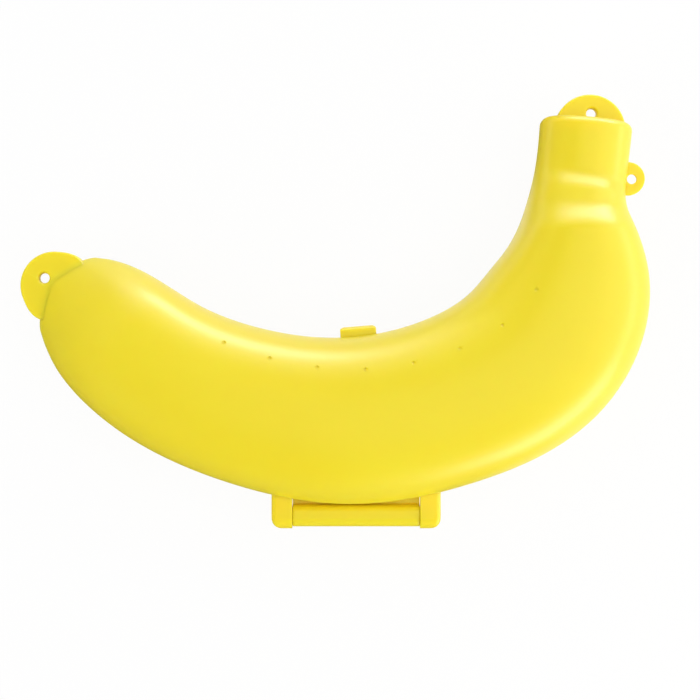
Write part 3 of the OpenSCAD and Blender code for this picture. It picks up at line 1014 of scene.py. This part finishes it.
@dataclass
class Eye(Assembly):
    """A flat eye with rounded edges, moulded onto one half of the shell."""

    name: str = "eye"
    half: Half = Half.LID
    node: str = ""
    centre: Pair = (0.0, 0.0)
    hole: Pair = (0.0, 0.0)
    radius: float = 10.5
    hole_d: float = 3.5
    thick: float = 2.0
    fillet: float = 0.5
    row: tuple[float, ...] = ()
    sides: int = 96
    draft: float = 0.25
    flare: float = 0.0
    flare_span: Pair = (58.0, 100.0)
    apron: float = 0.0
    apron_fall: float = 0.55
    apron_sink: float = 0.06
    recess: float = 0.06
    under_share: float = 0.4
    fillet_points: int = 5
    face_steps: int = 22
    lift_samples: int = 200

    def reach(self, spoke: np.ndarray) -> np.ndarray:
        """Radius of the outline in each direction, wider where it runs into the shell.

        Args:
            spoke: Unit vectors, one a row.

        Returns:
            The radii.
        """
        out = np.array(self.hole) - np.array(self.centre)
        if not self.flare:
            return np.full(len(spoke), self.radius)
        turn = np.degrees(np.arccos(np.clip(spoke @ out / np.linalg.norm(out), -1.0, 1.0)))
        low, high = self.flare_span
        return self.radius + self.flare * np.array([ease((a - low) / (high - low)) for a in turn])

    def shell_gap(self, flat: np.ndarray, level: float) -> np.ndarray:
        """Distance of points from the shell's outline at one height, below zero outside of it.

        Args:
            flat: Points seen from above, one a row.
            level: Height over the parting plane.

        Returns:
            The distances.
        """
        form = self.form
        edges: list[list[np.ndarray]] = [[], []]
        for t in self.row:
            depth, power = form.out_depth(t, form.half_depth), form.square(t)
            half = form.out_width(t) * max(1.0 - (level / depth) ** power, 0.0) ** (1.0 / power)
            for edge, way in zip(edges, (1.0, -1.0)):
                edge.append(form.place(t, way * half, 0.0)[:2])
        ring = np.array(edges[0] + edges[1][::-1])
        run = np.roll(ring, -1, axis=0) - ring
        offset = flat[:, None] - ring
        share = np.clip((offset * run).sum(2) / np.maximum((run ** 2).sum(1), TINY), 0.0, 1.0)
        gap = np.linalg.norm(offset - share[..., None] * run, axis=2).min(axis=1)
        under = flat[:, 1:2] < ring[:, 1]
        crosses = under != np.roll(under, -1, axis=1)
        meet = ring[:, 0] + offset[..., 1] / np.where(run[:, 1] == 0, TINY, run[:, 1]) * run[:, 0]
        inside = (crosses & (flat[:, 0:1] < meet)).sum(axis=1) % 2 == 1
        return np.where(inside, gap, -gap)

    def lift(self, flat: np.ndarray) -> np.ndarray:
        """Rise of the eye's face where it runs up into the shell.

        Args:
            flat: Points on the face, one a row.

        Returns:
            The rise at each point.
        """
        if not self.apron:
            return np.zeros(len(flat))
        form, level = self.form, self.form.rim + self.thick
        rise = self.shell_gap(flat, level) * self.apron_fall
        row = np.linspace(self.row[0], self.row[-1], self.lift_samples)
        middles = np.array([form.middle(t) for t in row])
        ahead = ((flat[:, None] - middles) * np.array([form.along(t) for t in row])).sum(2)
        speed = np.linalg.norm(middles[1] - middles[0]) / (row[1] - row[0])
        for i in np.flatnonzero(rise > 0):
            k = int(np.abs(ahead[i]).argmin())
            t = max(row[k] + ahead[i, k] / speed, row[0])
            rise[i] = form.outside(t, float((flat[i] - form.middle(t)) @ form.side(t))) - level
        near = np.maximum(self.apron - np.abs(rise), 0.0) / self.apron
        return np.maximum(rise, 0.0) + near ** 2 * self.apron / 4 - self.apron_sink * np.clip(rise, 0.0, 1.0)

    def build(self) -> None:
        """Builds the eye and trims it to the shell's wall."""
        spoke = spokes(self.sides)
        turns = np.radians(np.linspace(0.0, 90.0, self.fillet_points))
        corner = [(1 - math.sin(a), 1 - math.cos(a)) for a in turns]
        f, g, top = self.fillet, self.fillet * self.under_share, self.thick
        loops = [(0.0, f * b, top - f * a) for a, b in corner]
        loops += [(s, f, top) for s in np.linspace(0.0, 1.0, self.face_steps)[1:-1]]
        loops += [(1.0, f * b, top - f * a) for a, b in reversed(corner)]
        loops += [(1.0, g * b, g * a) for a, b in corner]
        loops += [(0.0, g * b, g * a) for a, b in reversed(corner)]
        rings = []
        for share, inset, height in loops:
            bore = self.hole_d / 2 + inset - self.draft * (1.0 - height / top)
            inner = np.array(self.hole) + spoke * bore
            outer = np.array(self.centre) + spoke * (self.reach(spoke) - inset)[:, None]
            flat = inner + (outer - inner) * share
            rise = self.form.rim + max(height, self.recess) + self.lift(flat) * height / top
            rings.append(np.column_stack((flat, self.form.half_depth + self.half.value * rise)))
        eye = loft(self.name, np.array(rings), endless=True)
        cut(eye, self.inner_core("eye_trim", self.row, self.half))
        smooth(eye)
        body = Body.LID if self.half is Half.LID else Body.BASE
        self.pieces.append(Piece(eye, body, self.node))


@dataclass
class Hinge(Assembly):
    """Barrel with its leaf on the base, two lugs on the lid and the pin through them.

    A share says where a stretch of a profile starts or ends, as a part of its radius or turn.
    """

    lug_r: float = 3.5
    lug_corner: float = 3.4
    barrel_r: float = 2.9
    web_r: float = 4.0
    arm: float = 11.3
    arm_share: float = 1.2
    arm_end: float = 0.4
    leaf_from: float = 0.6
    leaf_share: float = 1.05
    web_share: float = 1.25
    top_share: float = 0.8
    top_end: float = 0.3
    pin_d: float = 3.0
    pin_chamfer: float = 0.25
    bore_play: float = 0.05
    bore_past: float = 1.0
    rod_sides: int = 40
    soft: float = 0.12
    lug_soft: float = 1.5
    end_play: float = 0.12
    end_steps: int = 16
    end_crowd: float = 1.6
    row: tuple[float, ...] = tuple(np.arange(2.4, 5.61, 0.1))

    @staticmethod
    def node_box(node: str) -> tuple[np.ndarray, np.ndarray]:
        """Lowest and highest corner of a node in millimetres."""
        low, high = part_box(node)
        return np.array(low) / MM, np.array(high) / MM

    def axis(self) -> tuple[float, float]:
        """Y and Z of the hinge line."""
        low, high = self.node_box("hinge_pin")
        return float((low[1] + high[1]) / 2), float((low[2] + high[2]) / 2)

    def profile(self, radius: float, up: int, reach: float) -> np.ndarray:
        """Round end with a flat arm, as offsets from the hinge line.

        Args:
            radius: Radius of the round end.
            up: 1 where the arm's outer face is above, -1 where it is below.
            reach: Length of the arm.

        Returns:
            Rows of offsets along Y and Z.
        """
        seam = self.form.seam
        start = math.asin(seam / radius)
        turn = np.linspace(math.pi / 2, 2 * math.pi + start, 40)
        ring = [(radius * math.cos(a), radius * math.sin(a)) for a in turn]
        ring += [(y, seam) for y in np.linspace(radius * self.arm_share, reach, 8)]
        ring += [(y, radius) for y in np.linspace(reach, self.arm_end, 10)]
        return np.array(ring) * (1, up)

    def web_profile(self) -> np.ndarray:
        """Barrel with the web that fills up to the rims, and the leaf under it.

        Returns:
            Rows of offsets along Y and Z.
        """
        r, web, seam = self.barrel_r, self.web_r, self.form.seam
        turn = np.linspace(math.pi / 2, 1.5 * math.pi, 30)
        ring = [(r * math.cos(a), r * math.sin(a)) for a in turn]
        ring += [(y, -r) for y in np.linspace(self.leaf_from, self.arm, 10)]
        ring += [(y, -seam) for y in np.linspace(self.arm, web * self.leaf_share, 6)]
        shoulder = math.acos(min(r / web, 1.0))
        turn = np.linspace(math.pi / 2, shoulder * self.web_share, 10)
        ring += [(web * math.sin(a), web * math.cos(a)) for a in turn]
        corner = web * math.sin(shoulder)
        return np.array(ring + [(y, r) for y in np.linspace(corner * self.top_share, self.top_end, 6)])

    def block(self, name: str, low: float, high: float, shape: np.ndarray,
              corners: Pair, softs: Pair) -> bpy.types.Object:
        """Runs a profile along X, with its ends softened and its outer lower corner rounded.

        Args:
            name: Name of the piece.
            low: Lower end along X.
            high: Higher end along X.
            shape: Profile as offsets from the hinge line.
            corners: Rounding of the lower corners at both ends, seen from above.
            softs: Rounding of the edges at both ends.

        Returns:
            The new object.
        """
        y0, z0 = self.axis()
        floor = shape[:, 0].min()
        middle = shape.mean(axis=0)
        long = high - low
        near, far = np.linspace(0.0, 1.0, self.end_steps), np.linspace(1.0, 0.0, self.end_steps)[1:]
        steps = np.concatenate((near ** self.end_crowd * long / 2, long - far ** self.end_crowd * long / 2))
        rings = []
        for s in steps:
            ring = shape.copy()
            for gap, soft in zip((s, long - s), softs):
                ring = shrunk(ring, middle, fall(soft, gap))
            for gap, corner in zip((s, long - s), corners):
                ring[:, 0] = np.maximum(ring[:, 0], floor + fall(corner, gap))
            rings.append(np.column_stack((np.full(len(ring), low + s), ring[:, 0] + y0, ring[:, 1] + z0)))
        return loft(name, np.array(rings))

    def rod(self, name: str, low: float, high: float, radius: float, chamfer: float) -> bpy.types.Object:
        """A round rod along the hinge line.

        Args:
            name: Name of the piece.
            low: Lower end along X.
            high: Higher end along X.
            radius: Radius of the rod.
            chamfer: Chamfer of its ends.

        Returns:
            The new object.
        """
        y0, z0 = self.axis()
        circle, small = spokes(self.rod_sides), radius - chamfer
        spots = ((low, small), (low + chamfer, radius), (high - chamfer, radius), (high, small))
        return loft(name, np.array([
            np.column_stack((np.full(len(circle), x), circle * r + (y0, z0))) for x, r in spots]))

    def build(self) -> None:
        """Builds barrel, lugs and pin."""
        bore_r, past = self.pin_d / 2, self.bore_past
        pin_low, pin_high = self.node_box("hinge_pin")
        barrel_low, barrel_high = self.node_box("hinge_barrel")
        left_low, left_high = self.node_box("hinge_lug_left")
        right_low, right_high = self.node_box("hinge_lug_right")
        barrel = self.block("barrel_leaf", left_high[0] + self.end_play, right_low[0] - self.end_play,
                            self.web_profile(), (0.0, 0.0), (self.soft, self.soft))
        cut(barrel, self.inner_core("barrel_trim", self.row, Half.BASE))
        cut(barrel, self.rod("barrel_bore", barrel_low[0] - past, barrel_high[0] + past,
                             bore_r + self.bore_play, 0.0))
        lug_shape = self.profile(self.lug_r, 1, self.arm)
        left = self.block("left_lug", left_low[0], left_high[0], lug_shape,
                          (self.lug_corner, 0.0), (self.lug_soft, self.soft))
        right = self.block("right_lug", right_low[0], right_high[0], lug_shape,
                           (0.0, self.lug_corner), (self.soft, self.lug_soft))
        for lug in (left, right):
            cut(lug, self.inner_core("lug_trim", self.row, Half.LID))
        cut(left, self.rod("left_bore", pin_low[0], left_high[0] + past, bore_r, 0.0))
        cut(right, self.rod("right_bore", right_low[0] - past, right_high[0] + past, bore_r, 0.0))
        pin = self.rod("pin_rod", pin_low[0], pin_high[0], bore_r, self.pin_chamfer)
        for piece in (barrel, left, right, pin):
            smooth(piece)
        self.pieces += [
            Piece(barrel, Body.BASE, "hinge_barrel"), Piece(left, Body.LID, "hinge_lug_left"),
            Piece(right, Body.LID, "hinge_lug_right"), Piece(pin, Body.LID, "hinge_pin", Slot.PIN)]


@dataclass
class Latch(Assembly):
    """Spring tongue on the lid, with its hook and finger ledge, and the strike on the base."""

    at: float = 4.12
    width: float = 11.2
    reach: float = 2.8
    thick: float = 1.4
    drop: float = 6.6
    hook_depth: float = 0.7
    hook_face: float = 0.8
    hook_rise: float = 2.7
    hook_play: float = 0.3
    hook_bite: float = 0.4
    strike_height: float = 2.4
    strike_face: float = 0.7
    strike_crest: float = 0.4
    strike_inset: float = 1.0
    ledge: float = 0.4
    ledge_edge: float = 0.7
    ledge_slope: float = 0.7
    corner: float = 1.2
    soft: float = 0.3
    root: float = -0.9
    run_steps: int = 29
    tongue_edges: tuple[float, ...] = (0.1, 0.1, 0.9, 0.3, 0.25, 0.25, 0.2, 0.15, 0.15, 0.1, 0.5)
    strike_edges: tuple[float, ...] = (0.1, 0.2, 0.3, 0.3, 0.1)

    def run(self, name: str, outline: np.ndarray, width: float, corner: float) -> bpy.types.Object:
        """Runs an outline along the rim, with rounded outer corners.

        Args:
            name: Name of the piece.
            outline: Rows of reach out from the rim and height over the parting plane.
            width: Width along the rim.
            corner: Rounding of the outer corners, seen from above.

        Returns:
            The new object.
        """
        form = self.form
        along, out = form.along(self.at), form.side(self.at)
        foot = form.place(self.at, form.out_width(self.at), 0.0)
        far = outline[:, 0].max()
        middle = outline.mean(axis=0)
        share = 0.5 - 0.5 * np.cos(np.linspace(0.0, math.pi, self.run_steps))
        rings = []
        for s in (share - 0.5) * width:
            near = width / 2 - abs(s)
            ring = shrunk(outline, middle, fall(self.soft, near))
            ring[:, 0] = np.minimum(ring[:, 0], far - fall(corner, near))
            flat = foot[:2] + s * along + ring[:, :1] * out
            rings.append(np.column_stack((flat, foot[2] + ring[:, 1])))
        return loft(name, np.array(rings))

    def build(self) -> None:
        """Builds the tongue and the strike."""
        inner = self.reach - self.thick
        low = 2 * self.form.seam
        high = low + self.thick
        strike_low = self.hook_rise - self.drop
        hook_top = strike_low - self.hook_play
        tongue = rounded_outline((
            (self.root, low), (self.root, high), (self.reach, high),
            (self.reach, self.ledge_edge + self.ledge_slope - self.drop),
            (self.reach + self.ledge, self.ledge_edge - self.drop), (self.reach + self.ledge, -self.drop),
            (inner, -self.drop), (inner - self.hook_depth, hook_top - self.hook_face),
            (inner - self.hook_depth, hook_top), (inner, hook_top), (inner, low)), self.tongue_edges)
        strike_out = inner - self.hook_depth + self.hook_bite
        strike_top = strike_low + self.strike_height
        strike = rounded_outline((
            (self.root, strike_low), (strike_out, strike_low), (strike_out, strike_low + self.strike_face),
            (self.strike_crest, strike_top), (self.root, strike_top)), self.strike_edges)
        blade = self.run("latch_blade", tongue, self.width, self.corner)
        ridge = self.run("strike_ridge", strike, self.width - 2 * self.strike_inset, 0.0)
        for piece in (blade, ridge):
            smooth(piece)
        self.pieces += [Piece(blade, Body.LATCH, "latch_tongue"), Piece(ridge, Body.BASE, "latch_strike")]


@dataclass(frozen=True)
class Panel:
    """One soft studio lamp, by the direction it stands in, in degrees and metres."""

    name: str
    bearing: float
    height: float
    distance: float
    width: float
    tall: float
    radiance: float
    mirrored: bool = True
    diffused: bool = True

    def build(self, aim: Vector) -> None:
        """Hangs the lamp and turns it to the case.

        Args:
            aim: Point that the lamp faces, in metres.
        """
        lamp = bpy.data.lights.new(self.name, "AREA")
        lamp.shape = "RECTANGLE"
        lamp.size, lamp.size_y = self.width, self.tall
        lamp.energy = self.radiance * math.pi * self.width * self.tall
        holder = set_out(self.name, lamp)
        holder.visible_glossy = self.mirrored
        holder.visible_diffuse = self.diffused
        bearing, height = math.radians(self.bearing), math.radians(self.height)
        flat = math.cos(height)
        way = Vector((math.cos(bearing) * flat, math.sin(bearing) * flat, math.sin(height)))
        holder.location = aim + way * self.distance
        holder.rotation_euler = way.to_track_quat("Z", "Y").to_euler()


@dataclass
class Studio:
    """Floor, lamps, surroundings and camera; floor, aim and clip are in metres."""

    floor_size: float = 1.6
    mirrored: float = 0.1
    ambient: float = 0.16
    aim: tuple[float, float, float] = (0.0051, -0.0122, 0.022)
    camera_height: float = 575.0
    view_width: float = 217.9
    sensor: float = 36.0
    clip: Pair = (0.01, 20.0)
    panels: tuple[Panel, ...] = (
        Panel("key_core", 68.0, 5.5, 0.72, 0.60, 0.16, 8.4, diffused=False),
        Panel("key_panel", 77.0, 10.0, 0.75, 0.90, 0.27, 1.9),
        Panel("key_surround", 72.0, 25.0, 0.80, 1.30, 0.72, 0.7),
        Panel("right_panel", 5.0, 7.0, 0.75, 0.60, 0.18, 2.6),
        Panel("right_surround", 5.0, 34.0, 0.90, 1.00, 0.75, 0.7),
        Panel("side_panel", -46.0, 8.5, 0.75, 0.60, 0.19, 6.2),
        Panel("top_panel", 10.0, 72.0, 1.40, 0.80, 0.80, 0.45),
        Panel("top_fill", 330.0, 74.0, 1.20, 1.10, 1.10, 1.54, mirrored=False),
        Panel("low_fill", -60.0, 30.0, 0.90, 0.60, 0.50, 0.3, mirrored=False),
        Panel("left_fill", 138.0, 38.0, 1.00, 0.80, 0.70, 1.0, mirrored=False),
        Panel("fill_panel", 212.0, 36.0, 1.00, 0.90, 0.80, 1.9, mirrored=False),
    )

    def build(self) -> None:
        """Builds everything around the case."""
        self.lay_floor()
        for panel in self.panels:
            panel.build(Vector(self.aim))
        self.surround()
        self.set_camera()
        bpy.context.scene.view_settings.view_transform = "Standard"

    def lay_floor(self) -> None:
        """Lays the floor that the case rests on."""
        edge = self.floor_size / 2
        mesh = bpy.data.meshes.new("floor")
        corners = [(-edge, -edge, 0), (edge, -edge, 0), (edge, edge, 0), (-edge, edge, 0)]
        mesh.from_pydata(corners, [], [(0, 1, 2, 3)])
        mesh.materials.append(PaleFloor().make())
        floor = set_out("floor", mesh)

    def surround(self) -> None:
        """Gives soft light from all sides and white behind the case."""
        world = bpy.data.worlds.new("studio")
        bpy.context.scene.world = world
        world.use_nodes = True
        bench = Bench(world.node_tree)
        ray = bench.add("ShaderNodeLightPath", output="Is Camera Ray")
        white = bench.add("ShaderNodeBackground", {}, {"Color": (1, 1, 1, 1), "Strength": 1.0})
        room = bench.add("ShaderNodeBackground", {}, {"Color": (1, 1, 1, 1), "Strength": self.ambient})
        gloss = ray.other("Is Glossy Ray") * self.mirrored
        seen = (ray + gloss + ray.other("Is Transmission Ray")).at_most(1.0)
        both = bench.add("ShaderNodeMixShader", {}, {0: seen, 1: room, 2: white})
        bench.add("ShaderNodeOutputWorld", {}, {"Surface": both})

    def set_camera(self) -> None:
        """Looks straight down on the lid, as the picture does."""
        lens = bpy.data.cameras.new("front_view")
        lens.sensor_width = self.sensor
        lens.lens = self.sensor * self.camera_height / self.view_width
        lens.clip_start, lens.clip_end = self.clip
        camera = set_out("front_view", lens)
        camera.location = Vector(self.aim) + Vector((0.0, 0.0, self.camera_height * MM))
        bpy.context.scene.camera = camera


@dataclass(frozen=True)
class EyeSet:
    """Sizes and seats of the hang tabs on both halves, and of the lanyard ring.

    The stem's step is the length between the loft's last two stations.
    """

    form: BananaForm
    hole_d: float = 3.5
    hole_out: float = 0.6
    tip_shift: float = 0.3
    tip_back: float = 1.5
    tip_r: float = 10.5
    tip_flare: float = 1.0
    tip_apron: float = 1.3
    tip_near: tuple[float, float, int] = (0.01, 0.5, 22)
    tip_far: tuple[float, float, int] = (0.55, 1.9, 20)
    stem_shift: float = 1.2
    stem_back: float = 2.8
    stem_r: float = 11.0
    stem_from: float = 8.2
    stem_step: float = 13.2
    ring_at: float = 8.85
    ring_r: float = 5.2
    ring_hole_d: float = 3.4
    ring_gap: float = 0.3
    ring_in: float = 1.1
    ring_thick: float = 2.8
    ring_fillet: float = 0.9
    ring_from: float = 7.6
    ring_short: float = 0.1
    row_steps: int = 36
    weld_start: Pair = (-1.9, -0.2)
    weld_end: Pair = (-6.8, 2.6)

    @property
    def hole_reach(self) -> float:
        """Distance of a hang tab's hole from the end of the case."""
        return self.hole_d / 2 + self.hole_out

    def tip(self) -> np.ndarray:
        """Point at the tip that its tabs are set out from."""
        return self.form.middle(0.0) - self.form.side(0.0) * self.tip_shift

    def tip_hole(self) -> np.ndarray:
        """Middle of the tip's hole."""
        return self.tip() - self.form.along(0.0) * self.hole_reach

    def weld(self) -> tuple[Pair, Pair]:
        """Start and end of the weld line from the tip's hole to the rim."""
        hole = self.tip_hole()
        return tuple(hole + self.weld_start), tuple(hole + self.weld_end)

    def tip_tab(self, half: Half) -> Eye:
        """Sets out the hang tab at the tip.

        Args:
            half: Half of the case that it is on.

        Returns:
            The tab, not yet built.
        """
        word = half.name.lower()
        middle = self.tip() + self.form.along(0.0) * self.tip_back
        row = np.concatenate((np.linspace(*self.tip_near), np.linspace(*self.tip_far)))
        return Eye(self.form, f"tip_eye_{word}", half, f"{word}_tip_tab", tuple(middle),
                   tuple(self.tip_hole()), self.tip_r, self.hole_d, row=tuple(row),
                   flare=self.tip_flare, apron=self.tip_apron)

    def stem_tab(self, half: Half) -> Eye:
        """Sets out the hang tab at the stem.

        Args:
            half: Half of the case that it is on.

        Returns:
            The tab, not yet built.
        """
        form, word, last = self.form, half.name.lower(), self.form.last
        stem = form.middle(last) - form.side(last) * self.stem_shift
        hole = stem + form.along(last) * self.hole_reach
        middle = stem - form.along(last) * self.stem_back
        row = np.linspace(self.stem_from, last - Eye.trim_depth / self.stem_step, self.row_steps)
        return Eye(form, f"stem_eye_{word}", half, f"{word}_stem_tab", tuple(middle), tuple(hole),
                   self.stem_r, self.hole_d, row=tuple(row))

    def lanyard(self) -> Eye:
        """Sets out the lanyard ring beside the neck.

        Returns:
            The ring, not yet built.
        """
        form, at = self.form, self.ring_at
        hole = form.place(at, -form.out_width(at) - self.ring_hole_d / 2 - self.ring_gap, 0.0)[:2]
        middle = hole + form.side(at) * self.ring_in
        row = np.linspace(self.ring_from, form.last - self.ring_short, self.row_steps)
        return Eye(form, "lanyard_eye", Half.BASE, "lanyard_ring", tuple(middle), tuple(hole),
                   self.ring_r, self.ring_hole_d, self.ring_thick, self.ring_fillet, tuple(row))

    def make(self) -> list[Eye]:
        """All five eyes, not yet built."""
        tabs = [tab for half in Half for tab in (self.tip_tab(half), self.stem_tab(half))]
        return tabs + [self.lanyard()]


def main() -> None:
    """Builds the case and its studio, and reports each piece."""
    logging.basicConfig(level=logging.INFO, format="%(message)s")
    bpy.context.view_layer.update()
    form = BananaForm()
    eyes = EyeSet(form)
    weld_start, weld_end = eyes.weld()
    yellow = MouldedPlastic(
        "yellow_plastic", colour=(0.91, 0.71, 0.013), deep=(0.88, 0.66, 0.009), pale=(0.94, 0.77, 0.028))
    rod_yellow = MouldedPlastic(
        "rod_plastic", colour=(0.84, 0.64, 0.014), deep=(0.80, 0.58, 0.010), pale=(0.88, 0.70, 0.028),
        roughness=0.36)
    welded = WeldedPlastic(
        "welded_plastic", yellow.colour, yellow.deep, yellow.pale, start=weld_start, end=weld_end)
    assemblies: list[tuple[Assembly, MouldedPlastic]] = [
        (ShellHalf(form, Half.BASE), yellow),
        (ShellHalf(form, Half.LID), yellow),
        (Hinge(form), yellow),
        (Latch(form), yellow),
    ]
    assemblies += [(eye, welded if eye.name == "tip_eye_lid" else yellow) for eye in eyes.make()]
    for assembly, finish in assemblies:
        assembly.build()
        assembly.dress(finish)
        for piece in assembly.pieces:
            if piece.slot is Slot.PIN:
                piece.paint(rod_yellow.make())
            LOG.info("%s: %d faces on %s", piece.thing.name, len(piece.thing.data.polygons), piece.body.value)
    Studio().build()


if __name__ == "__main__":
    main()
